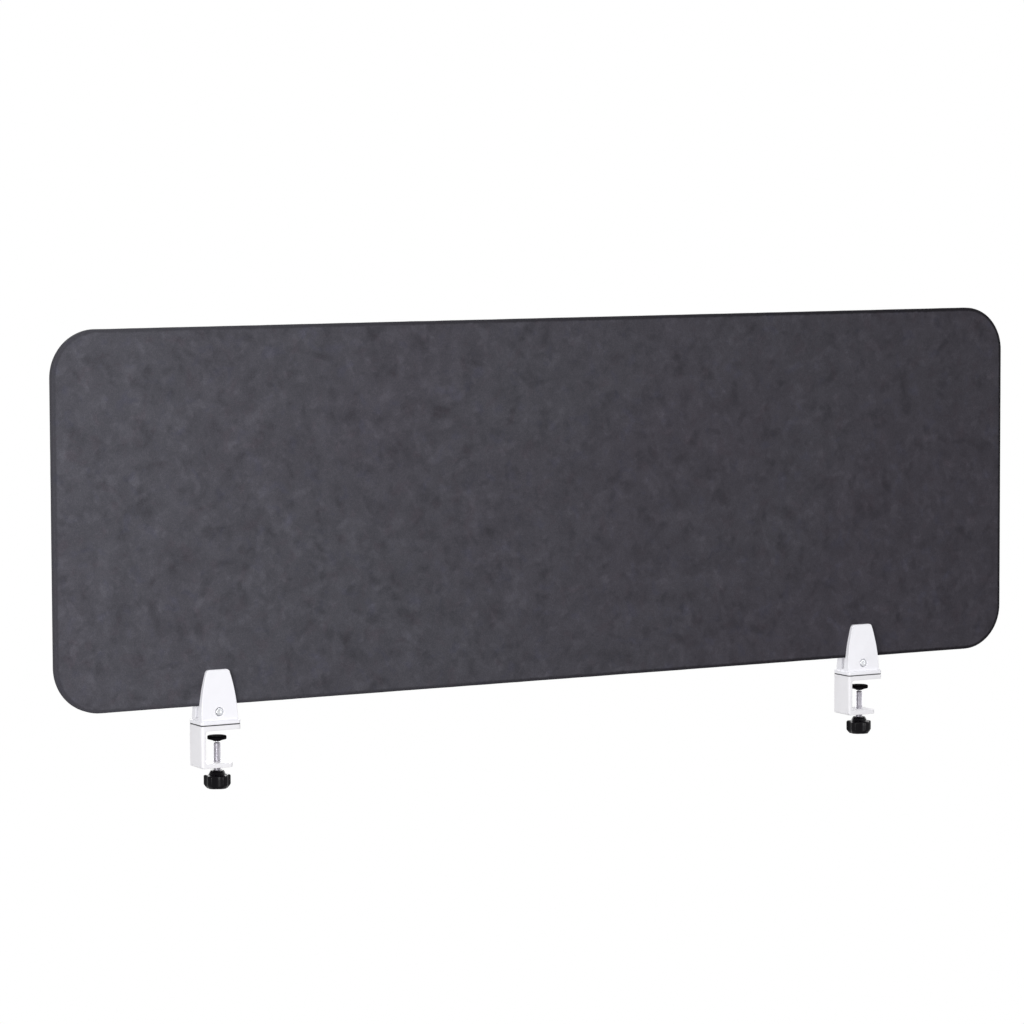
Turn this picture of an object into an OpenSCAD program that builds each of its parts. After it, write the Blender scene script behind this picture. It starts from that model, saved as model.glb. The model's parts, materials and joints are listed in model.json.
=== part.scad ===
// Acoustic divider screen: a felt board carried by two desk clamps.
// Millimetres. +X runs along the board, +Y to its back, +Z up.
// The origin is midway along the board, in its middle plane, at the height of
// the desk top, which is the underside of both clamps' upper jaws.

/* [Board] */
// Length of the felt board
board_w = 1200; // [700:10:1800]
// Height of the felt board
board_h = 400; // [250:10:700]
// Thickness of the felt board
board_t = 9; // [8:0.5:12]
// Radius of the board's four corners
board_corner_r = 50; // [15:1:100]

/* [Clamp places] */
// Distance from the board's left end to the left clamp's middle
left_inset = 183; // [80:0.5:300]
// Distance from the board's right end to the right clamp's middle
right_inset = 198.5; // [80:0.5:300]

/* [Fork] */
// Width of the fork's base plate along the board
fork_w = 46; // [42:0.5:60]
// Depth of the base plate across the board
fork_d = 32; // [31.5:0.5:48]
// Thickness of the base plate's rim
fork_plate_t = 4; // [3:0.25:6]
// Radius of the base plate's upright corners
fork_corner_r = 3; // [1:0.25:6]
// Metal left under the slot between the tongues
fork_floor_t = 6.5; // [6:0.25:10]
// Height of board held between the tongues
tongue_grip_h = 38; // [25:0.5:50]
// Width of a tongue where it meets the base plate
tongue_base_w = 42.5; // [38:0.5:52]
// Width of a tongue at its tip, measured across the rounded corners
tongue_tip_w = 25.5; // [18:0.5:34]
// How far a tongue's side edges bow out from a straight taper
tongue_bow = 2.4; // [0.5:0.1:4]
// Radius of the two corners of a tongue's tip
tongue_tip_r = 4; // [1.5:0.25:6]
// How far the base plate stands out past the foot of a tongue
plate_lip = 3; // [2:0.25:4]
// Thickness of a tongue at its tip
tongue_tip_t = 4.5; // [3:0.25:6]
// Width of the ledge on each tongue that the board stands on
ledge_w = 1.75; // [1:0.25:2.25]
// Depth of the slot below the board's lower edge
slot_drop = 13; // [11:0.25:16]

/* [Pinch bolt] */
// Diameter of the bolt that draws the tongues together
pinch_d = 5; // [4:0.5:6]
// Distance of the bolt's axis below the board's lower edge
pinch_drop = 6.4; // [5.5:0.1:7.5]
// Diameter of the bolt's round head
pinch_head_d = 8.5; // [8:0.25:10]
// Height of the bolt's round head
pinch_head_h = 2.75; // [2:0.25:3]
// Gap round the bolt's head in its seat
pinch_head_gap = 0.4; // [0.2:0.1:0.8]
// Width across flats of the hexagon socket in the bolt's head
pinch_socket_af = 3; // [2:0.25:4]
// Depth of that socket
pinch_socket_depth = 1.6; // [1:0.1:1.8]
// Width across flats of the nut
nut_af = 8; // [7.5:0.25:10]
// Thickness of the nut
nut_t = 4; // [3:0.25:4.5]

/* [Swivel] */
// Thickness of the friction pad between the fork and the bracket
gasket_t = 1; // [0.5:0.1:2]
// How far the friction pad stays inside the plates' edges
gasket_inset = 0.3; // [0:0.1:1]
// Diameter of the swivel screw
swivel_d = 6; // [5:0.5:6.5]
// Diameter of the swivel screw's sunk head
swivel_head_d = 11.2; // [10:0.2:12]
// Length of the swivel screw's thread in the fork
swivel_bite = 4.8; // [4:0.1:5]
// Width across flats of the hexagon socket in the swivel screw
swivel_socket_af = 4; // [3:0.5:4]
// Depth of that socket
swivel_socket_depth = 2; // [1:0.1:2.4]

/* [Bracket] */
// Thickness of the bracket's three plates
bracket_t = 5; // [4.5:0.25:7]
// Height of the throat between the jaws
throat_h = 35; // [32:0.5:50]
// Length of the lower jaw from the wall's outer face
lower_jaw_l = 37; // [35:0.5:44]
// Radius of the bracket's outer lower corner, seen from the front
bracket_heel_r = 3; // [1:0.25:4.5]
// Radius of the bracket's two inner corners
bracket_inner_r = 2; // [0.5:0.25:3]
// Radius of the lower jaw's two free corners, seen from above
jaw_corner_r = 4; // [1:0.25:6]

/* [Clamp screw] */
// Diameter of the clamp screw
screw_d = 8; // [6:0.5:8]
// Distance of the screw's axis from the fork's middle, towards the open side
screw_shift = 2; // [0:0.5:4]
// Gap between the upper jaw and the swivel pad as the clamp is shown
pad_gap = 7.5; // [6:0.25:12]
// Diameter of the ball at the screw's upper end
ball_d = 5; // [4.6:0.1:5.2]
// Diameter of the neck under the ball
neck_d = 3.4; // [3:0.1:3.6]
// Length of neck left free between the ball and the thread
neck_show_l = 0.5; // [0.3:0.1:1]
// Width across flats of the screw's hexagon head, inside the knob
head_af = 13; // [10:0.5:13]
// Height of the screw's hexagon head
head_h = 5.3; // [4:0.1:5.5]

/* [Swivel pad] */
// Diameter of the pad
pad_d = 20.5; // [17:0.5:22]
// Thickness of the rubber face
pad_face_t = 1.2; // [0.8:0.1:2]
// Thickness of the pad's disc
pad_disc_t = 2.6; // [2:0.1:2.8]
// Height of the cone that braces the disc from below
pad_cone_h = 1.5; // [0.8:0.1:1.6]
// Width of the disc's flat rim outside that cone
pad_rim_w = 1; // [0.5:0.25:3]
// Diameter of the socket round the ball
pad_hub_d = 8; // [7.5:0.25:10]
// How far the socket's lip reaches below the ball's middle
pad_lip_h = 1.6; // [1.5:0.1:2]
// Plastic left above the ball
pad_roof_t = 0.5; // [0.4:0.1:0.8]

/* [Knob] */
// Diameter over the knob's lobes
knob_d = 29; // [27:0.5:32]
// Number of lobes
knob_lobes = 5; // [4:1:6]
// Height of the lobed part
knob_h = 14; // [10:0.5:15]
// Radius of the hollows between lobes
knob_hollow_r = 8.5; // [6:0.25:9]
// Width of the slope at the foot of the lobes
knob_foot_w = 3; // [1:0.25:3.5]
// Height of that slope
knob_foot_h = 4; // [1:0.25:5]
// Depth of the hollows below the rim
knob_hollow_depth = 3.4; // [2:0.1:3.5]
// Diameter of the knob's collar at its top
collar_d = 14.5; // [12:0.5:16]
// How far the collar flares out towards its foot
collar_flare = 2; // [0:0.25:2.5]
// Height of the collar on the knob
collar_h = 5; // [4:0.5:7]
// Gap between the collar and the lower jaw as the clamp is shown
knob_gap = 4.5; // [3:0.25:8]
// Diameter of the cap in the knob's underside
cap_d = 18; // [16.5:0.25:19]
// Thickness of that cap
cap_t = 2; // [1.5:0.1:2.5]

/* [Fits] */
// Radial clearance of a part that turns in another
run_fit = 0.05; // [0.03:0.01:0.08]
// Radial clearance of a screw in its thread or a cap in its seat
seat_fit = 0.03; // [0.01:0.01:0.08]
// Radial clearance of a bolt in a plain hole
hole_fit = 0.25; // [0.15:0.05:0.4]
// Clearance round a nut in its pocket, and past the end of a screw
pocket_fit = 0.2; // [0.1:0.05:0.4]

/* [Hidden] */
$fn = 96;
// Overrun of every cut past the face that it opens
cut = 1;
// Number of steps in a computed arc
arc_steps = 14;
// Chamfer at the upper end of the clamp screw's thread, as a share of its radius
screw_chamfer_share = 0.22;
// Direction of one lobe of the knob as the clamp is shown, in degrees from +X
knob_turn = 67;

// Places of the two clamps along the board
left_x = left_inset - board_w / 2;
right_x = board_w / 2 - right_inset;

// Levels of one clamp, from the desk top up
bracket_top = bracket_t;
fork_z = bracket_top + run_fit + gasket_t;
slot_z = fork_z + fork_floor_t;
board_z = slot_z + slot_drop;
tip_z = board_z + tongue_grip_h;
pinch_z = board_z - pinch_drop;

// Levels of one clamp, from the desk top down
lower_jaw_z = -throat_h;
bracket_bottom = lower_jaw_z - bracket_t;
pad_z = -pad_gap;
disc_top = pad_z - pad_face_t;
disc_bottom = disc_top - pad_disc_t;
ball_z = disc_top - pad_roof_t - run_fit - ball_d / 2;
hub_bottom = ball_z - pad_lip_h;
shoulder_z = ball_z - ball_d / 2 - neck_show_l;
collar_top = bracket_bottom - knob_gap;
lobes_top = collar_top - collar_h;
knob_bottom = lobes_top - knob_h;
cap_top = knob_bottom + cap_t;

// Depths of the fork, measured from the board's middle plane
board_y = board_t / 2;
slot_half = board_y - ledge_w;
tongue_base_t = fork_d / 2 - plate_lip - board_y;
// Outer face of a tongue at a height above the fork's underside
function tongue_y(z) =
    board_y + tongue_base_t - (tongue_base_t - tongue_tip_t) * (z - fork_z) / (tip_z - fork_z);

// Seats of the pinch bolt's head and nut, sunk just below the sloping faces
pinch_seat = tongue_y(pinch_z) - pinch_head_h;
nut_seat = tongue_y(pinch_z) - nut_t;

// Points of a circle's arc from angle a to angle b
function arc(centre, r, a, b) =
    [for (i = [0 : arc_steps])
        let (turn = a + (b - a) * i / arc_steps)
        centre + r * [cos(turn), sin(turn)]];

// One bowed side of a tongue with its rounded tip corner, from the base up.
// The side is an arc over the chord from the base corner to the tip corner.
function tongue_side(base, tip, bow, r) =
    let (
        chord = tip - base,
        half = norm(chord) / 2,
        side_r = (half * half + bow * bow) / (2 * bow),
        out = [chord.y, -chord.x] / norm(chord),
        centre = (base + tip) / 2 - out * (side_r - bow),
        corner_z = tip.y - r,
        rise = corner_z - centre.y,
        corner = [centre.x + sqrt((side_r - r) * (side_r - r) - rise * rise), corner_z],
        from = atan2(base.y - centre.y, base.x - centre.x),
        to = atan2(rise, corner.x - centre.x)
    )
    concat(arc(centre, side_r, from, to), arc(corner, r, to, 90));

// A plate with rounded upright corners, centred in X and Y
module rounded_plate(w, d, h, r) {
    union() {
        translate([-w / 2 + r, -d / 2, 0]) cube([w - 2 * r, d, h]);
        translate([-w / 2, -d / 2 + r, 0]) cube([w, d - 2 * r, h]);
        for (x = [-1, 1], y = [-1, 1])
            translate([x * (w / 2 - r), y * (d / 2 - r), 0]) cylinder(r = r, h = h);
    }
}

// A cylinder along Y from y0 to y1
module rod_y(r, y0, y1) {
    translate([0, y0, 0]) rotate([-90, 0, 0]) cylinder(r = r, h = y1 - y0);
}

// A hexagon prism of a given width across flats, standing on the XY plane
module hexagon(af, h) {
    rotate([0, 0, 30]) cylinder(r = af / sqrt(3), h = h, $fn = 6);
}

// Front outline of both tongues, drawn in X and Z
module tongue_outline() {
    right_side = tongue_side(
        [tongue_base_w / 2, fork_z], [tongue_tip_w / 2, tip_z], tongue_bow, tongue_tip_r);
    left_side = [for (i = [len(right_side) - 1 : -1 : 0]) [-right_side[i].x, right_side[i].y]];
    polygon(concat(right_side, left_side));
}

// Side outline of the two tongues as one block, drawn in Y and Z
module tongue_side_outline() {
    root_y = tongue_y(fork_z);
    tip_y = tongue_y(tip_z);
    polygon([[root_y, fork_z], [tip_y, tip_z], [-tip_y, tip_z], [-root_y, fork_z]]);
}

// The felt board
module board_part() {
    color([0.30, 0.29, 0.32])
        translate([0, board_y, board_z + board_h / 2])
            rotate([90, 0, 0])
                rounded_plate(board_w, board_h, board_t, board_corner_r);
}

// The fork: base plate and two tongues that hold the board between them
module fork_part() {
    color([0.93, 0.93, 0.94]) difference() {
        union() {
            translate([0, 0, fork_z]) rounded_plate(fork_w, fork_d, fork_plate_t, fork_corner_r);
            intersection() {
                translate([0, fork_d / 2, 0]) rotate([90, 0, 0])
                    linear_extrude(height = fork_d) tongue_outline();
                translate([-fork_w / 2, 0, 0]) rotate([90, 0, 90])
                    linear_extrude(height = fork_w) tongue_side_outline();
            }
        }
        // Room for the board above the ledges
        translate([-fork_w / 2, -board_y, board_z])
            cube([fork_w, board_t, tongue_grip_h + cut]);
        // Slot with a round bottom below the board
        translate([-fork_w / 2 - cut, 0, slot_z + slot_half])
            rotate([0, 90, 0]) cylinder(r = slot_half, h = fork_w + 2 * cut);
        translate([-fork_w / 2 - cut, -slot_half, slot_z + slot_half])
            cube([fork_w + 2 * cut, 2 * slot_half, slot_drop - slot_half + cut]);
        // Hole, head seat and nut pocket of the pinch bolt
        translate([0, 0, pinch_z]) {
            rod_y(pinch_d / 2 + hole_fit, -fork_d / 2, fork_d / 2);
            rod_y(pinch_head_d / 2 + pinch_head_gap, -fork_d / 2 - cut, -pinch_seat);
            translate([0, nut_seat, 0]) rotate([-90, 0, 0])
                hexagon(nut_af + 2 * pocket_fit, fork_d / 2);
        }
        // Threaded hole of the swivel screw
        translate([0, 0, fork_z - cut])
            cylinder(r = swivel_d / 2 + seat_fit, h = cut + swivel_bite + pocket_fit);
    }
}

// The bolt that pinches the fork's tongues. Its head is a dome round a flat
// as wide across as twice the socket's flats, on a low straight rim.
module pinch_bolt_part() {
    head_r = pinch_head_d / 2;
    flat_r = pinch_socket_af;
    rim_h = pinch_head_h / 3;
    dome = [for (a = [0 : 15 : 90])
        [flat_r + (head_r - flat_r) * cos(a), rim_h + (pinch_head_h - rim_h) * sin(a)]];
    color([0.72, 0.73, 0.75]) translate([0, 0, pinch_z]) difference() {
        union() {
            rod_y(pinch_d / 2, -pinch_seat - pinch_head_h / 2, nut_seat + nut_t - pocket_fit);
            translate([0, -pinch_seat, 0]) rotate([90, 0, 0]) rotate_extrude()
                polygon(concat([[0, 0], [head_r, 0]], dome, [[0, pinch_head_h]]));
        }
        translate([0, -pinch_seat - pinch_head_h + pinch_socket_depth, 0]) rotate([90, 0, 0])
            hexagon(pinch_socket_af, pinch_socket_depth + cut);
    }
}

// The nut in the rear tongue
module pinch_nut_part() {
    color([0.72, 0.73, 0.75]) translate([0, nut_seat, pinch_z]) rotate([-90, 0, 0]) difference() {
        hexagon(nut_af, nut_t);
        translate([0, 0, -cut]) cylinder(r = pinch_d / 2 + seat_fit, h = nut_t + 2 * cut);
    }
}

// The thin pad that the bracket swivels against
module friction_pad_part() {
    color([0.16, 0.16, 0.17]) translate([0, 0, bracket_top + run_fit]) difference() {
        rounded_plate(fork_w - 2 * gasket_inset, fork_d - 2 * gasket_inset, gasket_t,
            fork_corner_r - gasket_inset);
        translate([0, 0, -cut]) cylinder(r = swivel_d / 2 + hole_fit, h = gasket_t + 2 * cut);
    }
}

// The screw that the bracket swivels on, with its head sunk in the upper jaw
module swivel_screw_part() {
    sunk_h = swivel_head_d / 2 - swivel_d / 2;
    color([0.72, 0.73, 0.75]) difference() {
        union() {
            translate([0, 0, run_fit]) cylinder(r1 = swivel_head_d / 2, r2 = swivel_d / 2, h = sunk_h);
            translate([0, 0, sunk_h]) cylinder(r = swivel_d / 2, h = fork_z - sunk_h + swivel_bite);
        }
        translate([0, 0, -cut]) hexagon(swivel_socket_af, cut + swivel_socket_depth);
    }
}

// The C-shaped bracket: upper jaw, wall on the closed side, lower jaw
module bracket_part() {
    wall_x = -fork_w / 2;
    inner_x = wall_x + bracket_t;
    jaw_end = wall_x + lower_jaw_l;
    hole_r = swivel_d / 2 + run_fit;
    sunk_r = swivel_head_d / 2 + run_fit;
    color([0.94, 0.94, 0.95]) difference() {
        union() {
            rounded_plate(fork_w, fork_d, bracket_t, fork_corner_r);
            // Wall and lower jaw, with the rounded heel between them
            intersection() {
                translate([wall_x + fork_w / 2, 0, bracket_bottom])
                    rounded_plate(fork_w, fork_d, bracket_top - bracket_bottom, fork_corner_r);
                translate([0, fork_d / 2, 0]) rotate([90, 0, 0]) linear_extrude(height = fork_d)
                    polygon(concat(
                        [[inner_x, bracket_top], [wall_x, bracket_top]],
                        arc([wall_x + bracket_heel_r, bracket_bottom + bracket_heel_r],
                            bracket_heel_r, 180, 270),
                        [[jaw_end - jaw_corner_r, bracket_bottom], [jaw_end - jaw_corner_r, lower_jaw_z]],
                        arc([inner_x + bracket_inner_r, lower_jaw_z + bracket_inner_r],
                            bracket_inner_r, 270, 180),
                        arc([inner_x + bracket_inner_r, -bracket_inner_r], bracket_inner_r, 180, 90)));
            }
            // Free end of the lower jaw
            translate([0, 0, bracket_bottom]) {
                translate([jaw_end - 2 * jaw_corner_r, -fork_d / 2 + jaw_corner_r, 0])
                    cube([2 * jaw_corner_r, fork_d - 2 * jaw_corner_r, bracket_t]);
                for (side = [-1, 1])
                    translate([jaw_end - jaw_corner_r, side * (fork_d / 2 - jaw_corner_r), 0])
                        cylinder(r = jaw_corner_r, h = bracket_t);
            }
        }
        // Pivot hole and sunk seat of the swivel screw
        translate([0, 0, -cut]) cylinder(r = hole_r, h = bracket_t + 2 * cut);
        translate([0, 0, -cut]) cylinder(r1 = sunk_r + cut, r2 = hole_r, h = cut + sunk_r - hole_r);
        // Threaded hole of the clamp screw
        translate([screw_shift, 0, bracket_bottom - cut])
            cylinder(r = screw_d / 2 + run_fit, h = bracket_t + 2 * cut);
    }
}

// The plastic shoe of the swivel pad, snapped over the screw's ball
module pad_shoe_part() {
    color([0.05, 0.05, 0.055]) translate([screw_shift, 0, 0]) difference() {
        union() {
            translate([0, 0, disc_bottom]) cylinder(r = pad_d / 2, h = pad_disc_t);
            translate([0, 0, disc_bottom - pad_cone_h])
                cylinder(r1 = pad_hub_d / 2, r2 = pad_d / 2 - pad_rim_w, h = pad_cone_h);
            translate([0, 0, hub_bottom]) cylinder(r = pad_hub_d / 2, h = disc_top - hub_bottom);
        }
        translate([0, 0, ball_z]) sphere(r = ball_d / 2 + run_fit);
        translate([0, 0, hub_bottom - cut])
            cylinder(r = (neck_d + ball_d) / 4, h = ball_z - hub_bottom + cut);
    }
}

// The rubber face of the swivel pad
module pad_face_part() {
    color([0.08, 0.08, 0.08])
        translate([screw_shift, 0, disc_top]) cylinder(r = pad_d / 2, h = pad_face_t);
}

// The clamp screw: ball, neck, thread and hexagon head
module clamp_screw_part() {
    chamfer = screw_chamfer_share * screw_d / 2;
    head_bottom = cap_top + seat_fit;
    color([0.62, 0.62, 0.63]) translate([screw_shift, 0, 0]) union() {
        translate([0, 0, ball_z]) sphere(r = ball_d / 2);
        rotate_extrude() polygon([
            [0, head_bottom], [screw_d / 2, head_bottom],
            [screw_d / 2, shoulder_z - chamfer], [screw_d / 2 - chamfer, shoulder_z],
            [neck_d / 2, shoulder_z], [neck_d / 2, ball_z], [0, ball_z]]);
        translate([0, 0, head_bottom]) hexagon(head_af, head_h - 2 * seat_fit);
    }
}

// The lobed knob, bored for the screw and its head
module knob_part() {
    lobe_step = 360 / knob_lobes;
    hollow_x = knob_d / 2 - knob_hollow_depth + knob_hollow_r;
    color([0.04, 0.04, 0.045]) translate([screw_shift, 0, 0]) difference() {
        union() {
            translate([0, 0, knob_bottom])
                cylinder(r1 = knob_d / 2 - knob_foot_w, r2 = knob_d / 2, h = knob_foot_h);
            translate([0, 0, knob_bottom + knob_foot_h])
                cylinder(r = knob_d / 2, h = knob_h - knob_foot_h);
            translate([0, 0, lobes_top])
                cylinder(r1 = collar_d / 2 + collar_flare, r2 = collar_d / 2, h = collar_h);
        }
        for (i = [0 : knob_lobes - 1])
            rotate([0, 0, knob_turn + (i + 1 / 2) * lobe_step])
                translate([hollow_x, 0, knob_bottom - cut])
                    cylinder(r = knob_hollow_r, h = knob_h + 2 * cut);
        translate([0, 0, knob_bottom - cut])
            cylinder(r = cap_d / 2 + seat_fit, h = cut + cap_t);
        translate([0, 0, knob_bottom]) hexagon(head_af + 2 * seat_fit, cap_t + head_h);
        translate([0, 0, knob_bottom]) cylinder(r = screw_d / 2 + seat_fit, h = knob_h + collar_h + cut);
    }
}

// The round cap that closes the knob's underside
module knob_cap_part() {
    color([0.05, 0.05, 0.055])
        translate([screw_shift, 0, knob_bottom]) cylinder(r = cap_d / 2, h = cap_t);
}

module at_left() {
    translate([left_x, 0, 0]) children();
}

module at_right() {
    translate([right_x, 0, 0]) children();
}

board_part();  // board
at_left() fork_part();  // left_fork
at_left() pinch_bolt_part();  // left_pinch_bolt
at_left() pinch_nut_part();  // left_pinch_nut
at_left() friction_pad_part();  // left_friction_pad
at_left() swivel_screw_part();  // left_swivel_screw
at_left() bracket_part();  // left_bracket
at_left() pad_shoe_part();  // left_pad_shoe
at_left() pad_face_part();  // left_pad_face
at_left() clamp_screw_part();  // left_clamp_screw
at_left() knob_part();  // left_knob
at_left() knob_cap_part();  // left_knob_cap
at_right() fork_part();  // right_fork
at_right() pinch_bolt_part();  // right_pinch_bolt
at_right() pinch_nut_part();  // right_pinch_nut
at_right() friction_pad_part();  // right_friction_pad
at_right() swivel_screw_part();  // right_swivel_screw
at_right() bracket_part();  // right_bracket
at_right() pad_shoe_part();  // right_pad_shoe
at_right() pad_face_part();  // right_pad_face
at_right() clamp_screw_part();  // right_clamp_screw
at_right() knob_part();  // right_knob
at_right() knob_cap_part();  // right_knob_cap
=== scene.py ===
"""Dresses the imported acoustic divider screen: materials, rounded edges, threads, camera and light."""
import json
import math
import bmesh
import bpy
from mathutils import Matrix, Vector, noise


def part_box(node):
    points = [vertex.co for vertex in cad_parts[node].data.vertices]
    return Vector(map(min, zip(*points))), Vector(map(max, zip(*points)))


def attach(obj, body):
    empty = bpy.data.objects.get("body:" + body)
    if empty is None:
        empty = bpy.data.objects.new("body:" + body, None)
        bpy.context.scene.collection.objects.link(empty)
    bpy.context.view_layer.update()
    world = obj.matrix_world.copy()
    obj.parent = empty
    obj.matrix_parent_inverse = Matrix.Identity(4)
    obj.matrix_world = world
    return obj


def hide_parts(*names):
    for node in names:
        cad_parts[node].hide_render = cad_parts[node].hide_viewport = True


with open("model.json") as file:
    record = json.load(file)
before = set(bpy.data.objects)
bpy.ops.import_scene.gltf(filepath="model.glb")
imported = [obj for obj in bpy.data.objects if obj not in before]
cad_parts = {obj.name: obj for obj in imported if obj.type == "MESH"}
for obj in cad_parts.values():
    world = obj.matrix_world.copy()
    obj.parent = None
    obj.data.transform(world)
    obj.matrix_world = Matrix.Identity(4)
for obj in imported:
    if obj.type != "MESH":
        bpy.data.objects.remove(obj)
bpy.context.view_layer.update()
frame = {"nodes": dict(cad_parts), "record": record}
BODIES = frame["record"]["behaviour"]["bodies"]
BODY_OF = {node: body for body, nodes in BODIES.items() for node in nodes}
SLOT_OF = {row["node"]: row["material_slot"] for row in frame["record"]["subparts"]}
SIDES = ("left", "right")
MM = 0.001

# The camera, found from the outline of the board in the photograph; its place is in metres
IMAGE_SIDE_PX = 1024
FOCAL_PX = 4073.9
LENS_AXIS_ROW_PX = 470.85
SENSOR_MM = 36
CAMERA_PLACE = Vector((-2.2360, -3.8836, 0.5930))
CAMERA_YAW_DEG = -29.311
CAMERA_PITCH_DEG = 4.291
CAMERA_ROLL_DEG = -0.217
# The nearest and the furthest that it sees, in metres
CAMERA_CLIP = (0.05, 60)

# The lamps: name, place and aim in metres, side in metres, watts, and the pieces it lights alone
LAMPS = (
    ("Key", (-1.6, -1.15, 0.4), (-0.5, 0, 0.2), 0.8, 23.5, "board"),
    ("Top", (-0.2, -0.9, 2.0), (0, 0, 0), 1.4, 14, None),
    ("Back", (0.3, 2.6, 1.2), (0, 0, 0.1), 1.6, 50, None),
    ("Side", (2.4, 1.0, 0.9), (0.3, 0, 0.1), 1.2, 16, None),
    ("Clamp key", (-2.73, -2.35, 0.33), (0, 0, 0), 1.1, 87, "clamps"),
    ("Clamp top", (1.0, -1.06, 0.5), (0.2, 0, 0), 0.7, 4.1, "clamps"),
)
# Strength of the world as a source of light; to the camera and in reflections it is plain white
WORLD_LIGHT = 0.25

# The floor, in metres: its level, a desk's height below the desk top, and its radius
FLOOR_Z = -0.72
FLOOR_RADIUS = 14
FLOOR_COLOUR = (0.88, 0.88, 0.88, 1)
# Share of plain white added to it below the object, and from how far off it turns all white
FLOOR_WHITE = 0.62
FLOOR_FADE = (0.5, 1.6)

# The felt board, in millimetres: corner radius, width of its grid and rounding of its cut edge
BOARD_CORNER = 50
BOARD_GRID = 10
BOARD_ROUND = 1.3
# Width of the band of narrow faces along its outline
BOARD_EDGE_BAND = 2.6
# How deep its faces and its cut edge wave in, in millimetres, and about how many waves to a metre
FACE_WAVE = (0.15, 22)
EDGE_WAVE = (0.3, 60)
# How far inside the outline the dark rim and the cut edge's own shade begin and are full
RIM_FADE = (4.8, 2.6)
CUT_FADE = (0.75, 0.35)
# How far the rim's inner border strays
RIM_RAG = 0.5
# Brightness of the rim's painted shade at the board's left and right ends, darker at the right, and the
# least that the cut edge has
RIM_SHADE = (0.74, 0.32)
CUT_SHADE = 0.62
# The felt's ground at the left and at the right, the right one darker as painted shade, and the tints of its
# patches
FELT_LIT_LEFT = (0.0785, 0.0771, 0.0908)
FELT_SHADED_RIGHT = (0.0722, 0.0667, 0.0817)
FELT_BLUE = (0.066, 0.066, 0.097)
FELT_RED = (0.080, 0.064, 0.078)

# The clamp screw, in millimetres
SCREW_R = 4
SCREW_FIT = 0.03
SCREW_CHAMFER = 0.9
PITCH = 1.25
THREAD_DEPTH = 0.7
THREAD_STEPS = 48
# Corners of the thread's profile, as shares of its pitch and of its depth
THREAD_PROFILE = (
    (0.00, 1.0), (0.12, 1.0), (0.20, 0.92), (0.42, 0.08),
    (0.50, 0.0), (0.62, 0.0), (0.70, 0.08), (0.92, 0.92))
BALL_R = 2.5
# Faces down the ball, and round the ball and the neck
BALL_STEPS = 16
NECK_STEPS = 32
# From the ball's lowest point to the screw's shoulder
SHOULDER_GAP = 0.5
NECK_R = 1.7
# The fillet at the neck's foot: how far out from the neck and up from the shoulder
NECK_FILLET = ((0, 0.35), (0.1, 0.15), (0.35, 0))
# How far the neck goes on below the shoulder, inside the thread
NECK_ROOT = 1
# The hexagon head: its height, and the distance from its middle to a flat
HEAD_H = 5.2
HEAD_FLAT_R = 6.5
# Its two ends are drawn in to a share of its width, over this height
HEAD_CHAMFER = 0.5
HEAD_END_SHARE = 0.93
# Each corner has a point of its own, and one on the flat at this angle to either side
HEAD_CORNER_DEG = 9

# The swivel pad, in millimetres: its rubber face
PAD_R = 10.25
PAD_SHOULDER_W = 1.15
PAD_SKIRT_H = 0.15
# Its shoe: disc, sloping underside, hub, and the socket for the ball
PAD_DISC_T = 2.6
PAD_DISC_EDGE = 0.9
PAD_DISC_EDGE_DEG = 75
PAD_CONE_H = 1.5
PAD_RIM_W = 1.0
PAD_HUB_R = 4.0
PAD_HUB_EDGE = 0.4
PAD_BORE_R = 2.1
PAD_SOCKET_R = 2.55
PAD_SOCKET_STEPS = 12
PAD_ROOF_T = 0.5
PAD_STEPS = 96

# The knob, in millimetres; its foot is given by how far it draws in and how high it is
KNOB_R = 14.5
KNOB_LOBES = 5
KNOB_TURN_DEG = 67
KNOB_H = 14
KNOB_EDGE = 1.5
KNOB_FOOT = (3, 4)
KNOB_STEPS = 150
# The hollows between its lobes, and how softly they meet the rim
HOLLOW_R = 8.5
HOLLOW_DEPTH = 3.4
KNOB_SOFT = 2.2
COLLAR_R = 7.25
COLLAR_FLARE = 2
COLLAR_H = 5
COLLAR_EDGE = 0.8
# Inside it: the screw's bore, the pocket of the screw's head and the seat of the cap
BORE_R = 4.03
BORE_CHAMFER = 0.3
POCKET_R = 7.6
POCKET_TOP = 7.3
SEAT_R = 9.03
SEAT_CHAMFER = 0.25
CAP_T = 2

# The clamp's pieces that keep their CAD shape: radius of their edges in millimetres, and steps in it
ROUNDED_PARTS = (
    ("fork", 0.8, 4), ("bracket", 0.7, 3), ("pinch_bolt", 0.25, 2), ("pinch_nut", 0.2, 2),
    ("friction_pad", 0.2, 2), ("swivel_screw", 0.15, 2), ("knob_cap", 0.3, 3))
# An edge that turns by more than this is rounded, and faces that turn by less than this are one flat
ROUNDED_FROM_DEG = 35
FLAT_BELOW_DEG = 0.5


def clear_default_objects():
    """Removes the start-up camera, light and cube, if they are there."""
    for name in ("Camera", "Light", "Cube"):
        if name in bpy.data.objects:
            bpy.data.objects.remove(bpy.data.objects[name])


def add_node(tree, kind, **settings):
    """Adds a shader node with these settings."""
    node = tree.nodes.new(kind)
    for key, value in settings.items():
        setattr(node, key, value)
    return node


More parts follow.
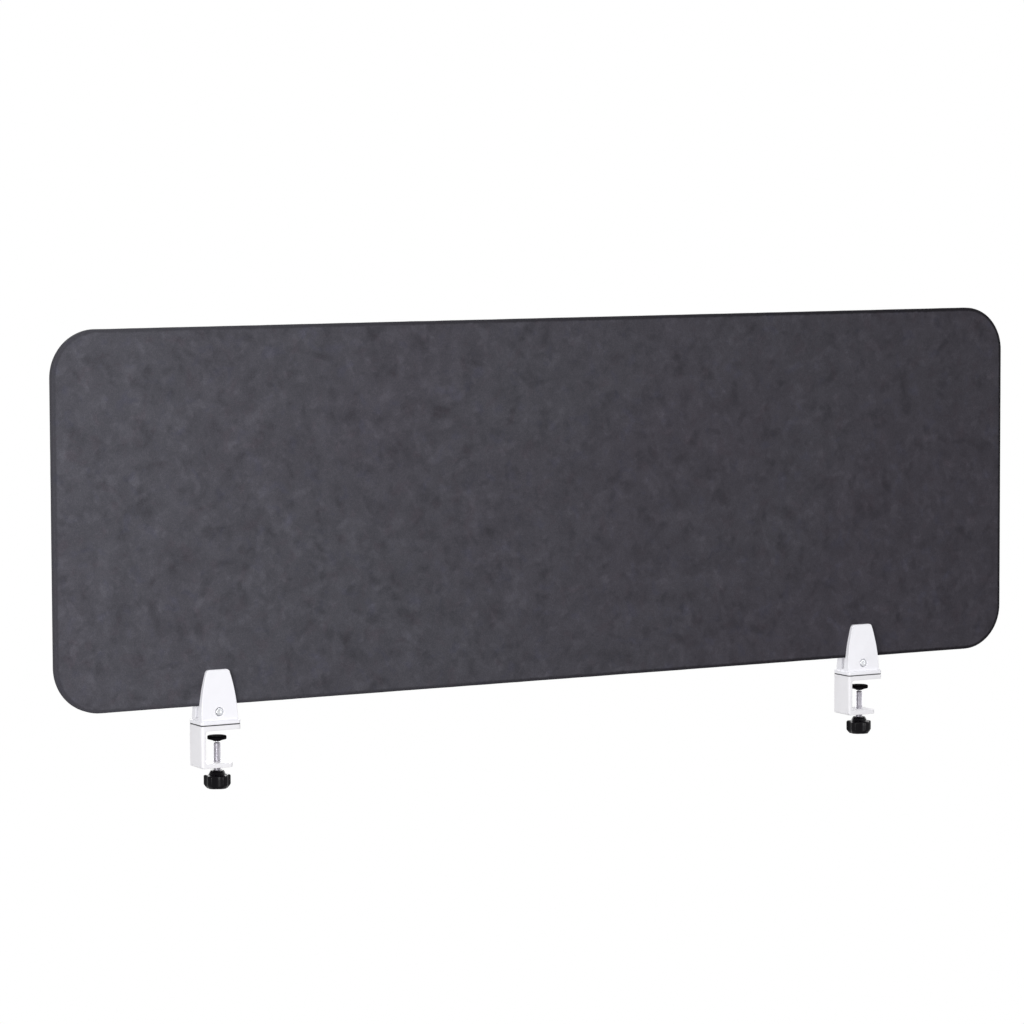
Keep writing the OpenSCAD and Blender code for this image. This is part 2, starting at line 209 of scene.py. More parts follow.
class Paint:
    """A material being built from shader nodes, on one Principled surface."""

    def __init__(self, name, **surface):
        self.material = bpy.data.materials.new(name)
        self.material.use_nodes = True
        self.tree = self.material.node_tree
        self.surface = self.tree.nodes["Principled BSDF"]
        self.place = self.add("ShaderNodeTexCoord").outputs["Object"]
        for socket, value in surface.items():
            self.surface.inputs[socket.replace("_", " ")].default_value = value

    def add(self, kind, **settings):
        return add_node(self.tree, kind, **settings)

    def link(self, source, target):
        self.tree.links.new(source, target)

    def moved(self, stretch=(1, 1, 1), turn=(0, 0, 0), shift_mm=(0, 0, 0)):
        """The object's own coordinates, shifted, turned and then stretched, which draws a pattern out."""
        node = self.add("ShaderNodeMapping", vector_type="TEXTURE")
        node.inputs["Location"].default_value = [d * MM for d in shift_mm]
        node.inputs["Rotation"].default_value = [math.radians(a) for a in turn]
        node.inputs["Scale"].default_value = stretch
        self.link(self.place, node.inputs["Vector"])
        return node.outputs["Vector"]

    def noise(self, size_mm, detail=3.0, rough=0.55, distort=0.0, vector=None):
        """Noise from 0 to 1, with features of about that size."""
        node = self.add("ShaderNodeTexNoise")
        node.inputs["Scale"].default_value = 1 / (size_mm * MM)
        node.inputs["Detail"].default_value = detail
        node.inputs["Roughness"].default_value = rough
        node.inputs["Distortion"].default_value = distort
        self.link(vector or self.place, node.inputs["Vector"])
        return node.outputs["Fac"]

    def strewn(self, size_mm, stretch, turns, shift_mm=(0, 0, 0), **settings):
        """The highest of several noises, each drawn out in its own direction across the board's face.

        The shift in X grows by its own value from one direction to the next."""
        step, y, z = shift_mm
        layers = []
        for k, turn in enumerate(turns):
            vector = self.moved((stretch, 2, 1), (0, turn, 0), (step * k, y, z))
            layers.append(self.noise(size_mm, vector=vector, **settings))
        return self.calc("MAXIMUM", *layers)

    def spread(self, value, low, high, to_low=0.0, to_high=1.0, smooth=False):
        """Maps low..high of a value to to_low..to_high, clamped."""
        node = self.add("ShaderNodeMapRange")
        if smooth:
            node.interpolation_type = "SMOOTHSTEP"
        self.link(value, node.inputs["Value"])
        for key, number in (("From Min", low), ("From Max", high), ("To Min", to_low), ("To Max", to_high)):
            node.inputs[key].default_value = number
        return node.outputs["Result"]

    def calc(self, kind, value, *others):
        """An arithmetic step on one value, or on it and each of the others in turn.

        Each value is a socket or a number."""
        for other in others or (0,):
            node = self.add("ShaderNodeMath", operation=kind)
            for socket, source in zip(node.inputs, (value, other)):
                if isinstance(source, (int, float)):
                    socket.default_value = source
                else:
                    self.link(source, socket)
            value = node.outputs["Value"]
        return value

    def mix(self, share, a, b):
        """Mixes two colours, each a socket or a colour, by a share, which is a socket."""
        node = self.add("ShaderNodeMix", data_type="RGBA")
        self.link(share, node.inputs["Factor"])
        for key, value in (("A", a), ("B", b)):
            socket = [s for s in node.inputs if s.name == key and s.type == "RGBA"][0]
            if isinstance(value, (tuple, list)):
                socket.default_value = (*value, 1)
            else:
                self.link(value, socket)
        return [s for s in node.outputs if s.type == "RGBA"][0]

    def times(self, colour, factor):
        """A colour made lighter or darker by a factor; both are sockets."""
        node = self.add("ShaderNodeVectorMath", operation="SCALE")
        self.link(colour, node.inputs[0])
        self.link(factor, node.inputs["Scale"])
        return node.outputs["Vector"]

    def colour(self, source):
        self.link(source, self.surface.inputs["Base Color"])

    def rough(self, source):
        self.link(source, self.surface.inputs["Roughness"])

    def bump(self, *layers):
        """Stacks bumps; each layer is a height from 0 to 1 and its depth in millimetres."""
        last = None
        for height, depth_mm in layers:
            node = self.add("ShaderNodeBump")
            node.inputs["Distance"].default_value = depth_mm * MM
            self.link(height, node.inputs["Height"])
            if last:
                self.link(last, node.inputs["Normal"])
            last = node.outputs["Normal"]
        self.link(last, self.surface.inputs["Normal"])

    def axis(self, name):
        """One of the object's own coordinates."""
        axes = self.add("ShaderNodeSeparateXYZ")
        self.link(self.place, axes.inputs["Vector"])
        return axes.outputs[name]

    def edge_distance(self, low, high, corner):
        """Distance to the outline of a rounded board in X and Z, below 0 inside it."""
        past = []
        for name, a, b in (("X", low.x, high.x), ("Z", low.z, high.z)):
            off = self.calc("ABSOLUTE", self.calc("SUBTRACT", self.axis(name), (a + b) / 2))
            past.append(self.calc("SUBTRACT", off, (b - a) / 2 - corner))
        squares = [self.calc("POWER", self.calc("MAXIMUM", p, 0), 2) for p in past]
        outside = self.calc("SQRT", self.calc("ADD", *squares))
        inside = self.calc("MINIMUM", self.calc("MAXIMUM", *past), 0)
        return self.calc("SUBTRACT", self.calc("ADD", outside, inside), corner)


def felt():
    """Charcoal needled felt: soft clouds, dark and light flecks, stray strands and fine fibres, with painted
    shade that darkens it towards the right and along its rim.
    """
    paint = Paint("felt", Roughness=0.96, Specular_IOR_Level=0.04, Sheen_Weight=0.03, Sheen_Roughness=0.6)
    across = paint.axis("X")
    # Painted shade: the ground darkens from the left end to the right, along a wandering border
    wander = paint.spread(paint.noise(240, detail=1), 0.35, 0.65, -0.3, 0.3)
    base = paint.mix(paint.spread(paint.calc("ADD", across, wander), -0.5, 0.5), FELT_LIT_LEFT, FELT_SHADED_RIGHT)
    # Soft clouds, and patches that are bluer or redder than the ground
    clouds = paint.noise(34, detail=2.5, rough=0.5)
    mottle = paint.noise(21, detail=2, rough=0.55, vector=paint.moved((1, 2, 1), shift_mm=(31, 0, 17)))
    patches = paint.noise(17, detail=2, distort=0.5)
    base = paint.mix(paint.spread(patches, 0.56, 0.72, 0, 0.30, smooth=True), base, FELT_BLUE)
    base = paint.mix(paint.spread(patches, 0.44, 0.30, 0, 0.25, smooth=True), base, FELT_RED)
    # Flecks: bunched fibres that lie in several directions
    dark = paint.strewn(17, 1.5, (15, -50, 75), (90, 0, 40), detail=1.6, rough=0.5, distort=0.2)
    light = paint.strewn(13, 1.5, (-20, 60), (70, 30, 10), detail=1.6, rough=0.5)
    # Strands: thin level lines of a slow noise, broken up by another
    level = paint.noise(23, detail=1.5, distort=0.8, vector=paint.moved(shift_mm=(0, 55, 0)))
    off_level = paint.calc("ABSOLUTE", paint.calc("SUBTRACT", level, 0.5))
    breaks = paint.noise(11, detail=1, vector=paint.moved(shift_mm=(0, 0, 210)))
    strands = paint.calc(
        "MULTIPLY", paint.spread(off_level, 0.010, 0.030, 1, 0), paint.spread(breaks, 0.52, 0.60))
    # The nap: grit, single fibres and bundles of them, which runs on over the rim
    grit = paint.noise(0.9, detail=2, rough=0.6)
    fibres = paint.strewn(0.30, 9, (20, -35, 80, -78), detail=1.5)
    bundles = paint.strewn(1.1, 8, (5, -62, 48), (0, 0, 60), detail=2)
    nap = paint.calc(
        "MULTIPLY",
        paint.spread(grit, 0.25, 0.75, 0.92, 1.08),
        paint.spread(fibres, 0.56, 0.80, 0.87, 1.38),
        paint.spread(bundles, 0.48, 0.76, 0.95, 1.08))
    tone = paint.calc(
        "MULTIPLY",
        paint.spread(clouds, 0.30, 0.70, 0.92, 1.08),
        paint.spread(mottle, 0.30, 0.70, 0.91, 1.09),
        paint.spread(dark, 0.56, 0.76, 1, 0.80, smooth=True),
        paint.spread(light, 0.57, 0.75, 1, 1.20, smooth=True),
        paint.spread(strands, 0, 1, 1, 1.08),
        nap)
    # Painted shade: a dark rim along the outline, darker towards the right, and the cut edge itself
    edge = paint.edge_distance(*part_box("board"), BOARD_CORNER * MM)
    ragged = paint.spread(paint.noise(5, detail=2), 0.3, 0.7, -RIM_RAG * MM, RIM_RAG * MM)
    ragged = paint.calc("ADD", edge, ragged)
    rim = paint.spread(ragged, *(-inset * MM for inset in RIM_FADE), smooth=True)
    cut = paint.spread(edge, *(-inset * MM for inset in CUT_FADE), 0, CUT_SHADE)
    painted_rim_shade = paint.calc("MAXIMUM", paint.spread(across, -0.5, 0.5, *RIM_SHADE), cut)
    painted_rim_shade = paint.calc("MULTIPLY", painted_rim_shade, nap)
    paint.colour(paint.mix(rim, paint.times(base, tone), paint.times(base, painted_rim_shade)))
    paint.bump((clouds, 0.5), (dark, 0.25), (bundles, 0.10), (grit, 0.10), (fibres, 0.08))
    return paint.material


def powder_coat(name, tint):
    """White powder coat: satin, with a faint orange peel."""
    paint = Paint(name, Roughness=0.42, Specular_IOR_Level=0.45)
    shade = paint.spread(paint.noise(9, detail=3), 0.3, 0.7)
    paint.colour(paint.mix(shade, [c * 0.985 for c in tint], tint))
    paint.rough(paint.spread(paint.noise(2.5, detail=2), 0.3, 0.7, 0.38, 0.47))
    paint.bump((paint.noise(1.3, detail=1.5), 0.03), (paint.noise(0.35, detail=1), 0.008))
    return paint.material


def steel(name, tint, rough):
    """Zinc-plated steel with fine turning marks."""
    paint = Paint(name, Metallic=1.0, Roughness=rough)
    marks = paint.noise(0.25, detail=2, vector=paint.moved((7, 7, 1)))
    cloud = paint.noise(3.5, detail=3)
    paint.colour(paint.mix(paint.spread(cloud, 0.3, 0.7), [c * 0.86 for c in tint], tint))
    paint.rough(paint.spread(marks, 0.3, 0.7, rough * 0.8, rough * 1.3))
    paint.bump((marks, 0.006))
    return paint.material


def moulded(name, tint, rough, gloss):
    """Moulded plastic or rubber with a fine spark grain."""
    paint = Paint(name, Roughness=rough, Specular_IOR_Level=gloss)
    grain = paint.noise(0.25, detail=2)
    worn = paint.noise(6, detail=3)
    paint.colour(paint.mix(paint.spread(worn, 0.35, 0.7), tint, [c * 1.35 for c in tint]))
    paint.rough(paint.spread(grain, 0.3, 0.7, rough * 0.88, min(1, rough * 1.15)))
    paint.bump((grain, 0.02))
    return paint.material


PAINTS = {
    "felt": felt(),
    "white_fork": powder_coat("white_fork", (0.885, 0.88, 0.925)),
    # The bracket's white is greyer than the fork's: painted shade on the same white powder coat
    "white_bracket": powder_coat("white_bracket", (0.85, 0.84, 0.87)),
    "zinc_steel": steel("zinc_steel", (0.72, 0.73, 0.75), 0.28),
    "screw_steel": steel("screw_steel", (0.54, 0.525, 0.565), 0.42),
    "dark_rubber": moulded("dark_rubber", (0.035, 0.035, 0.038), 0.8, 0.3),
    "black_rubber": moulded("black_rubber", (0.0014, 0.0011, 0.0017), 0.85, 0.01),
    "black_plastic": moulded("black_plastic", (0.0014, 0.0011, 0.0017), 0.65, 0.04),
    "knob_plastic": moulded("knob_plastic", (0.0018, 0.0014, 0.0022), 0.31, 0.10),
}


def new_piece(name, mesh, node, smooth_deg):
    """Puts a mesh in the scene in place of a CAD node, with that node's finish and body."""
    piece = bpy.data.objects.new(name, mesh)
    bpy.context.scene.collection.objects.link(piece)
    mesh.materials.clear()
    mesh.materials.append(PAINTS[SLOT_OF[node]])
    for polygon in mesh.polygons:
        polygon.use_smooth = True
    mesh.set_sharp_from_angle(angle=math.radians(smooth_deg))
    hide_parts(node)
    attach(piece, BODY_OF[node])
    return piece


def built_piece(name, shape, node, smooth_deg):
    """Puts a finished bmesh in the scene in place of a CAD node."""
    mesh = bpy.data.meshes.new(name)
    shape.to_mesh(mesh)
    shape.free()
    return new_piece(name, mesh, node, smooth_deg)


def merge(shape, within_mm):
    """Joins points that lie this close together."""
    bmesh.ops.remove_doubles(shape, verts=shape.verts, dist=within_mm * MM)


def join_rings(shape, rings):
    """Adds the faces between each ring of points and the next; a ring of one point is a tip."""
    steps = max(len(ring) for ring in rings)
    for a, b in zip(rings, rings[1:]):
        for i in range(steps):
            j = (i + 1) % steps
            corners = dict.fromkeys((a[i % len(a)], a[j % len(a)], b[j % len(b)], b[i % len(b)]))
            if len(corners) > 2:
                shape.faces.new(list(corners))


def rounded_copy(node, radius_mm, segments):
    """A copy of a CAD node with its sharp edges rounded off."""
    mesh = frame["nodes"][node].data.copy()
    shape = bmesh.new()
    shape.from_mesh(mesh)
    merge(shape, 0.002)
    flat = math.radians(FLAT_BELOW_DEG)
    bmesh.ops.dissolve_limit(shape, angle_limit=flat, verts=shape.verts, edges=shape.edges)
    shape.to_mesh(mesh)
    shape.free()
    piece = new_piece(node + "_skin", mesh, node, smooth_deg=30)
    bevel = piece.modifiers.new("Rounded edges", "BEVEL")
    bevel.width = radius_mm * MM
    bevel.segments = segments
    bevel.limit_method = "ANGLE"
    bevel.angle_limit = math.radians(ROUNDED_FROM_DEG)
    bevel.use_clamp_overlap = False
    bevel.loop_slide = False
    bevel.harden_normals = True
    return piece


def outline(half_w, half_h, corner, steps=20):
    """A rounded rectangle's points in X and Z, anticlockwise."""
    points = []
    for turn, (sx, sz) in enumerate(((1, 1), (-1, 1), (-1, -1), (1, -1))):
        for i in range(steps + 1):
            a = math.radians(90 * turn + 90 * i / steps)
            x = sx * (half_w - corner) + corner * math.cos(a)
            z = sz * (half_h - corner) + corner * math.sin(a)
            points.append((x, z))
    return points


def make_board():
    """The felt board: a dense grid with a softly rounded, slightly uneven edge."""
    low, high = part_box("board")
    half_w, half_h, half_t = (high.x - low.x) / 2, (high.z - low.z) / 2, (high.y - low.y) / 2
    mid_x, mid_z = (high.x + low.x) / 2, (high.z + low.z) / 2
    # From front to back, each ring's distance inside the outline and its place in Y
    r = BOARD_ROUND * MM
    profile = [(BOARD_EDGE_BAND * MM, -half_t)]
    for i in range(4):
        a = math.radians(90 * i / 3)
        profile.append((r * (1 - math.sin(a)), -half_t + r * (1 - math.cos(a))))
    profile.append((0, -half_t / 3))
    profile += [(inset, -y) for inset, y in reversed(profile)]
    shape = bmesh.new()
    rings = []
    for inset, y in profile:
        ring = outline(half_w - inset, half_h - inset, BOARD_CORNER * MM - inset)
        rings.append([shape.verts.new((mid_x + x, y, mid_z + z)) for x, z in ring])
    join_rings(shape, rings)
    shape.faces.new(rings[0])
    shape.faces.new(list(reversed(rings[-1])))
    grid = BOARD_GRID * MM
    for axis, start, end in ((Vector((1, 0, 0)), low.x, high.x), (Vector((0, 0, 1)), low.z, high.z)):
        place = start + grid
        while place < end - grid / 2:
            everything = shape.verts[:] + shape.edges[:] + shape.faces[:]
            bmesh.ops.bisect_plane(shape, geom=everything, plane_co=axis * place, plane_no=axis, dist=1e-7)
            place += grid
    bmesh.ops.recalc_face_normals(shape, faces=shape.faces)
    shape.normal_update()
    face_depth, face_scale = FACE_WAVE
    edge_depth, edge_scale = EDGE_WAVE
    for vert in shape.verts:
        face = 0.5 + 0.5 * noise.noise(Vector((vert.co.x, vert.co.z, 0.3)) * face_scale)
        edge = 0.5 + 0.5 * noise.noise(Vector((vert.co.x, vert.co.z, 7.1)) * edge_scale)
        facing = abs(vert.normal.y)
        vert.co -= vert.normal * MM * (face_depth * facing * face + edge_depth * (1 - facing) * edge)
    return built_piece("board_felt", shape, "board", smooth_deg=60)


def revolve(shape, profile, centre, steps):
    """Adds the surface that a profile of (radius, height) points sweeps round an upright axis."""
    rings = []
    for radius, z in profile:
        if radius < 1e-7:
            rings.append([shape.verts.new((centre.x, centre.y, z))])
            continue
        rings.append([
            shape.verts.new((centre.x + radius * math.cos(a), centre.y + radius * math.sin(a), z))
            for a in (2 * math.pi * i / steps for i in range(steps))])
    join_rings(shape, rings)


def thread(shape, centre, low_z, high_z, major, chamfer):
    """Adds an outside thread, cut square at its lower end and chamfered at its upper end."""
    pitch, depth = PITCH * MM, THREAD_DEPTH * MM
    turns = int((high_z - low_z) / pitch) + 3
    rows = [(t * pitch + share * pitch, deep) for t in range(-1, turns) for share, deep in THREAD_PROFILE]

    def place(column, row):
        a = 2 * math.pi * column / THREAD_STEPS
        lift, deep = rows[row]
        z = low_z - pitch + lift + pitch * column / THREAD_STEPS
        radius = major - depth * deep
        z = min(max(z, low_z), high_z)
        radius = min(radius, major - chamfer + (high_z - z))
        return shape.verts.new((centre.x + radius * math.cos(a), centre.y + radius * math.sin(a), z))

    grid = [[place(column, row) for row in range(len(rows))] for column in range(THREAD_STEPS)]
    for column, here in enumerate(grid):
        # The last column meets the first one a turn further up
        last = column + 1 == THREAD_STEPS
        after = grid[0][len(THREAD_PROFILE):] if last else grid[column + 1]
        for row in range(len(after) - 1):
            ring = (here[row], after[row], after[row + 1], here[row + 1])
            if max(v.co.z for v in ring) - min(v.co.z for v in ring) > 1e-9:
                shape.faces.new(ring)


def make_clamp_screw(side):
    """The clamp screw: ball, neck, a real helical thread and the hexagon head inside the knob."""
    node = side + "_clamp_screw"
    low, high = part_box(node)
    centre = Vector(((low.x + high.x) / 2, (low.y + high.y) / 2, 0))
    ball_r, neck_r = BALL_R * MM, NECK_R * MM
    ball_z = high.z - ball_r
    shoulder_z = high.z - 2 * ball_r - SHOULDER_GAP * MM
    head_top, chamfer = low.z + HEAD_H * MM, HEAD_CHAMFER * MM
    shape = bmesh.new()
    thread(shape, centre, head_top - chamfer, shoulder_z, (SCREW_R - SCREW_FIT) * MM, SCREW_CHAMFER * MM)
    # The ball down to the neck, the neck, and its root inside the thread
    below = math.pi - math.asin(neck_r / ball_r)
    ball = [below * i / BALL_STEPS for i in range(1, BALL_STEPS + 1)]
    profile = [(0, high.z)] + [(ball_r * math.sin(a), ball_z + ball_r * math.cos(a)) for a in ball]
    profile += [(neck_r + out * MM, shoulder_z + up * MM) for out, up in NECK_FILLET]
    profile += [(radius, shoulder_z - NECK_ROOT * MM) for radius in (profile[-1][0], 0)]
    revolve(shape, profile, centre, NECK_STEPS)
    # The hexagon head, drawn in at both ends
    levels = [(HEAD_END_SHARE, low.z), (1, low.z + chamfer)]
    levels += [(1, head_top - chamfer), (HEAD_END_SHARE, head_top)]
    turns = [(60 * k + off, off) for k in range(6) for off in (-HEAD_CORNER_DEG, 0, HEAD_CORNER_DEG)]
    rings = []
    for share, z in levels:
        ring = []
        for turn, off in turns:
            reach = share * HEAD_FLAT_R * MM / math.cos(math.radians(30 - abs(off)))
            x, y = reach * math.sin(math.radians(turn)), reach * math.cos(math.radians(turn))
            ring.append(shape.verts.new((centre.x + x, centre.y + y, z)))
        rings.append(ring)
    join_rings(shape, rings)
    shape.faces.new(rings[0])
    shape.faces.new(rings[-1])
    merge(shape, 0.001)
    # The thread's two ends
    bmesh.ops.holes_fill(shape, edges=[edge for edge in shape.edges if edge.is_boundary], sides=0)
    bmesh.ops.recalc_face_normals(shape, faces=shape.faces)
    return built_piece(node + "_thread", shape, node, smooth_deg=40)


def lobed(angle, rim):
    """Radius of the knob's lobed outline in a direction, where its rim has a given radius."""
    step = 2 * math.pi / KNOB_LOBES
    off = (angle - math.radians(KNOB_TURN_DEG)) % step - step / 2
    reach = KNOB_R - HOLLOW_DEPTH + HOLLOW_R
    square = HOLLOW_R ** 2 - (reach * math.sin(off)) ** 2
    hollow = reach * math.cos(off) - math.sqrt(max(square, 0))
    # Soft minimum, which rounds the corners where hollow and rim meet
    blend = max(KNOB_SOFT - abs(rim - hollow), 0) / KNOB_SOFT
    return min(rim, hollow) - blend * blend * KNOB_SOFT / 4


def quarter(inset, drop, end_deg=90, steps=5):
    """Points of a rounded corner: how far in from the side and down from the top each one is."""
    turns = [math.radians(end_deg * i / steps) for i in range(steps + 1)]
    return [(inset * (1 - math.cos(a)), drop * (1 - math.sin(a))) for a in turns]


def make_knob(side):
    """The knob: rounded lobes over a sloping foot, a flared collar, and the bore for the screw and cap."""
    node = side + "_knob"
    cap_low, cap_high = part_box(side + "_knob_cap")
    centre = (cap_low + cap_high) / 2
    foot_w, foot_h = KNOB_FOOT
    foot_r, neck_r, top = KNOB_R - foot_w, COLLAR_R + COLLAR_FLARE, KNOB_H + COLLAR_H
    # Lobed rows: the rim's radius, how far the outline is drawn in, and the height above the foot
    rows = [(foot_r, inset, z) for inset, z in ((0.7, 0), (0.35, 0.06), (0.1, 0.25), (0, 0.6))]
    rows += [(foot_r + foot_w * share, 0, foot_h * share) for share in (0.4, 0.7, 0.9)]
    rows += [(KNOB_R - 0.03, 0, foot_h + 0.25), (KNOB_R, 0, foot_h + 1.2)]
    rows += [(KNOB_R, 0, (KNOB_H + foot_h) / 2)]
    rows += [(KNOB_R, inset, KNOB_H - drop) for inset, drop in quarter(KNOB_EDGE, KNOB_EDGE)]
    # Round rows: radius and height, up the collar and down the bore
    round_rows = [(neck_r + out, KNOB_H + up) for out, up in ((0.9, 0), (0.4, 0.12), (0.1, 0.5))]
    round_rows += [(neck_r - COLLAR_FLARE * share, KNOB_H + COLLAR_H * share) for share in (0.25, 0.5, 0.78)]
    round_rows += [(COLLAR_R - inset, top - drop) for inset, drop in quarter(COLLAR_EDGE, COLLAR_EDGE)]
    round_rows += [
        (BORE_R + BORE_CHAMFER, top), (BORE_R, top - BORE_CHAMFER), (BORE_R, POCKET_TOP),
        (POCKET_R, POCKET_TOP), (POCKET_R, CAP_T), (SEAT_R, CAP_T),
        (SEAT_R, SEAT_CHAMFER), (SEAT_R + SEAT_CHAMFER, 0)]
    angles = [2 * math.pi * i / KNOB_STEPS for i in range(KNOB_STEPS)]
    rings = [[(lobed(a, rim) - inset, z) for a in angles] for rim, inset, z in rows]
    rings += [[(radius, z)] * KNOB_STEPS for radius, z in round_rows]
    shape = bmesh.new()
    verts = []
    for ring in rings:
        places = [Vector((r * math.cos(a), r * math.sin(a), z)) * MM for a, (r, z) in zip(angles, ring)]
        verts.append([shape.verts.new(Vector((centre.x, centre.y, cap_low.z)) + place) for place in places])
    join_rings(shape, verts + verts[:1])
    bmesh.ops.recalc_face_normals(shape, faces=shape.faces)
    return built_piece(node + "_lobes", shape, node, smooth_deg=50)


def make_pad(side):
    """The swivel pad: a rubber face with a round shoulder, on a plastic shoe that is hollow for the ball."""
    face_low, face_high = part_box(side + "_pad_face")
    shoe_low, shoe_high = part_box(side + "_pad_shoe")
    centre = (shoe_low + shoe_high) / 2
    # Both profiles give radius and height from the piece's top, in millimetres
    face_t = (face_high.z - face_low.z) / MM
    shoulder = quarter(PAD_SHOULDER_W, face_t - PAD_SKIRT_H, steps=6)
    face = [(0, 0)] + [(PAD_R - inset, -drop) for inset, drop in reversed(shoulder)]
    face += [(PAD_R - 0.1, -face_t), (0, -face_t)]
    shoe_t = (shoe_high.z - shoe_low.z) / MM
    cone_low = -PAD_DISC_T - PAD_CONE_H
    shoe = [(0, 0), (PAD_R - 0.15, 0), (PAD_R, -0.15)]
    disc_edge = quarter(PAD_DISC_EDGE, PAD_DISC_EDGE, PAD_DISC_EDGE_DEG, 4)
    shoe += [(PAD_R - inset, drop - PAD_DISC_T) for inset, drop in disc_edge]
    shoe += [(PAD_R - PAD_RIM_W - 0.5, -PAD_DISC_T - 0.1), (PAD_HUB_R + 0.5, cone_low + 0.1),
             (PAD_HUB_R, cone_low - 0.1)]
    hub_edge = quarter(PAD_HUB_EDGE, PAD_HUB_EDGE, steps=3)
    shoe += [(PAD_HUB_R - inset, drop - shoe_t) for inset, drop in hub_edge]
    shoe += [(PAD_BORE_R + 0.2, -shoe_t), (PAD_BORE_R, 0.2 - shoe_t)]
    ball_z = -PAD_ROOF_T - PAD_SOCKET_R
    mouth = math.pi - math.asin(PAD_BORE_R / PAD_SOCKET_R)
    socket = [mouth * (1 - i / PAD_SOCKET_STEPS) for i in range(PAD_SOCKET_STEPS + 1)]
    shoe += [(PAD_SOCKET_R * math.sin(a), ball_z + PAD_SOCKET_R * math.cos(a)) for a in socket]
    pieces = []
    for part, profile, top in (("face", face, face_high.z), ("shoe", shoe, shoe_high.z)):
        shape = bmesh.new()
        revolve(shape, [(radius * MM, top + z * MM) for radius, z in profile], centre, PAD_STEPS)
        merge(shape, 0.0005)
        bmesh.ops.recalc_face_normals(shape, faces=shape.faces)
        node = f"{side}_pad_{part}"
        pieces.append(built_piece(node + "_round", shape, node, smooth_deg=40))
    return pieces


def make_clamp(side):
    """One clamp's pieces."""
    pieces = [make_clamp_screw(side), make_knob(side), *make_pad(side)]
    pieces += [rounded_copy(f"{side}_{part}", radius, steps) for part, radius, steps in ROUNDED_PARTS]
    return pieces


def make_camera():
    """A camera at the photograph's place, with its lens axis above the picture's middle."""
    data = bpy.data.cameras.new("Photo camera")
    data.sensor_fit = "HORIZONTAL"
    data.sensor_width = SENSOR_MM
    data.lens = FOCAL_PX / IMAGE_SIDE_PX * SENSOR_MM
    data.shift_y = (LENS_AXIS_ROW_PX - IMAGE_SIDE_PX / 2) / IMAGE_SIDE_PX
    data.clip_start, data.clip_end = CAMERA_CLIP
    camera = bpy.data.objects.new("Photo camera", data)
    turn = (Matrix.Rotation(math.radians(CAMERA_YAW_DEG), 4, "Z")
            @ Matrix.Rotation(math.radians(90 - CAMERA_PITCH_DEG), 4, "X")
            @ Matrix.Rotation(math.radians(CAMERA_ROLL_DEG), 4, "Z"))
    camera.matrix_world = Matrix.Translation(CAMERA_PLACE) @ turn
    bpy.context.scene.collection.objects.link(camera)
    bpy.context.scene.camera = camera


def make_lamp(name, place, aim, size, watts):
    """A square area light aimed at a point."""
    data = bpy.data.lights.new(name, "AREA")
    data.shape = "SQUARE"
    data.size = size
    data.energy = watts
    lamp = bpy.data.objects.new(name, data)
    turn = (Vector(aim) - Vector(place)).to_track_quat("-Z", "Y").to_matrix().to_4x4()
    lamp.matrix_world = Matrix.Translation(place) @ turn
    bpy.context.scene.collection.objects.link(lamp)
    return lamp


def light_only(lamp, pieces):
    """Makes a lamp light these pieces alone, as a flag would in a studio."""
    group = bpy.data.collections.new(lamp.name + " pieces")
    for piece in pieces:
        group.objects.link(piece)
    lamp.light_linking.receiver_collection = group


def backdrop_rays(tree):
    """1 for a ray that should see a plain white background, 0 for one that carries light."""
    path = add_node(tree, "ShaderNodeLightPath")
    last = path.outputs["Is Camera Ray"]
    for name in ("Is Glossy Ray", "Is Transmission Ray"):
        node = add_node(tree, "ShaderNodeMath", operation="MAXIMUM")
        tree.links.new(last, node.inputs[0])
        tree.links.new(path.outputs[name], node.inputs[1])
        last = node.outputs["Value"]
    return last


def make_world():
    """White to the camera and in reflections, softer as a source of light."""
    world = bpy.data.worlds.new("Studio")
    world.use_nodes = True
    tree = world.node_tree
    background = tree.nodes["Background"]
    background.inputs["Color"].default_value = (1, 1, 1, 1)
    level = add_node(tree, "ShaderNodeMapRange")
    tree.links.new(backdrop_rays(tree), level.inputs["Value"])
    level.inputs["To Min"].default_value = WORLD_LIGHT
    level.inputs["To Max"].default_value = 1.0
    tree.links.new(level.outputs["Result"], background.inputs["Strength"])
    bpy.context.scene.world = world


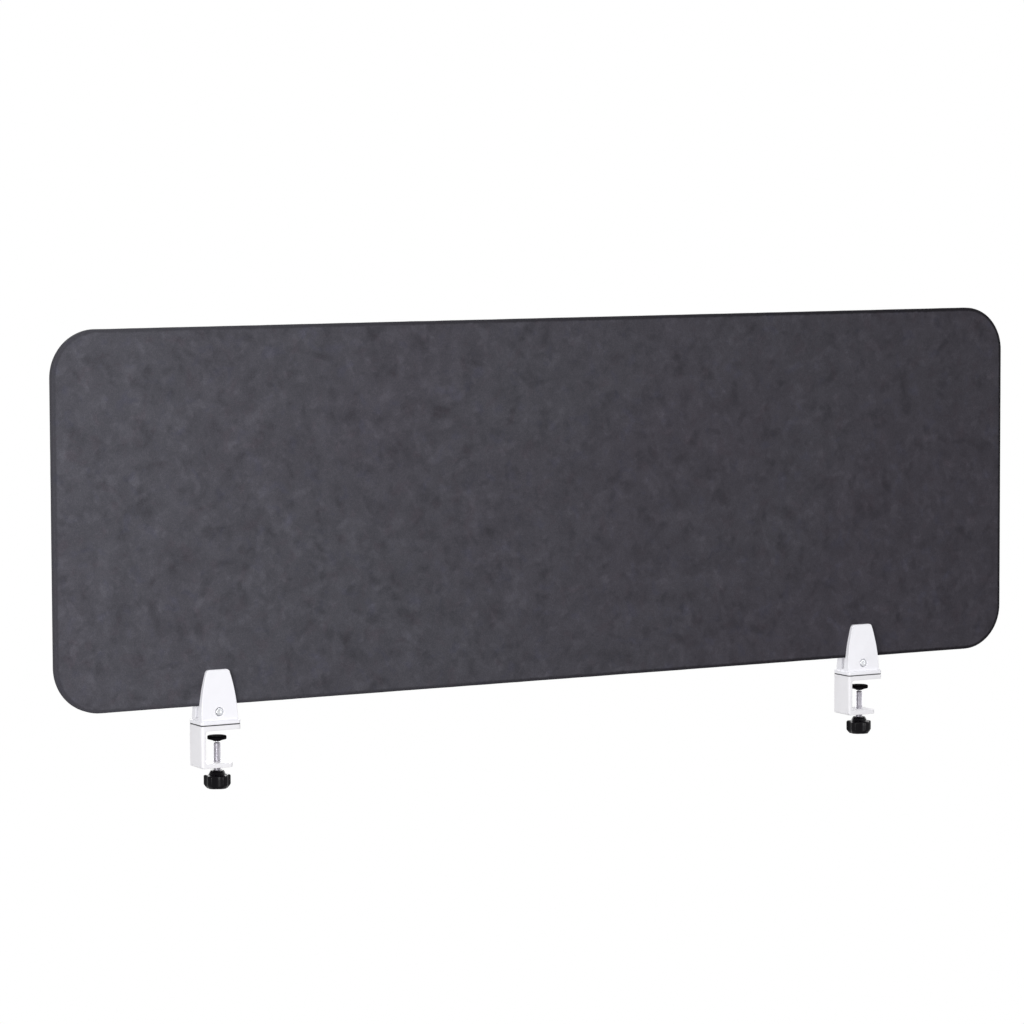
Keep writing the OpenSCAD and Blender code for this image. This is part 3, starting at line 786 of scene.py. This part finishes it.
def floor_material():
    """Lit like paint near the object, plain white further off, and clear from below."""
    material = bpy.data.materials.new("floor")
    material.use_nodes = True
    tree = material.node_tree
    link = tree.links.new
    surface = tree.nodes["Principled BSDF"]
    surface.inputs["Base Color"].default_value = FLOOR_COLOUR
    surface.inputs["Roughness"].default_value = 1
    surface.inputs["Specular IOR Level"].default_value = 0
    place = add_node(tree, "ShaderNodeTexCoord")
    length = add_node(tree, "ShaderNodeVectorMath", operation="LENGTH")
    link(place.outputs["Object"], length.inputs[0])
    fade = add_node(tree, "ShaderNodeMapRange", interpolation_type="SMOOTHSTEP")
    link(length.outputs["Value"], fade.inputs["Value"])
    fade.inputs["From Min"].default_value, fade.inputs["From Max"].default_value = FLOOR_FADE
    fade.inputs["To Min"].default_value = FLOOR_WHITE
    share = add_node(tree, "ShaderNodeMath", operation="MULTIPLY")
    link(fade.outputs["Result"], share.inputs[0])
    link(backdrop_rays(tree), share.inputs[1])
    plain = add_node(tree, "ShaderNodeEmission")
    above = add_node(tree, "ShaderNodeMixShader")
    link(share.outputs["Value"], above.inputs["Fac"])
    link(surface.outputs["BSDF"], above.inputs[1])
    link(plain.outputs["Emission"], above.inputs[2])
    facing = add_node(tree, "ShaderNodeNewGeometry")
    clear = add_node(tree, "ShaderNodeBsdfTransparent")
    both = add_node(tree, "ShaderNodeMixShader")
    link(facing.outputs["Backfacing"], both.inputs["Fac"])
    link(above.outputs["Shader"], both.inputs[1])
    link(clear.outputs["BSDF"], both.inputs[2])
    link(both.outputs["Shader"], tree.nodes["Material Output"].inputs["Surface"])
    return material


def make_floor():
    """A pale round floor at a desk's height below the clamps."""
    shape = bmesh.new()
    bmesh.ops.create_circle(shape, cap_ends=True, radius=FLOOR_RADIUS, segments=96)
    mesh = bpy.data.meshes.new("floor")
    shape.to_mesh(mesh)
    shape.free()
    mesh.materials.append(floor_material())
    floor = bpy.data.objects.new("floor", mesh)
    floor.location.z = FLOOR_Z
    bpy.context.scene.collection.objects.link(floor)


def main():
    clear_default_objects()
    pieces = {"board": [make_board()], "clamps": [piece for side in SIDES for piece in make_clamp(side)]}
    make_camera()
    make_world()
    for *lamp, lit_alone in LAMPS:
        light = make_lamp(*lamp)
        if lit_alone:
            light_only(light, pieces[lit_alone])
    make_floor()
    bpy.context.scene.view_settings.view_transform = "Standard"


main()
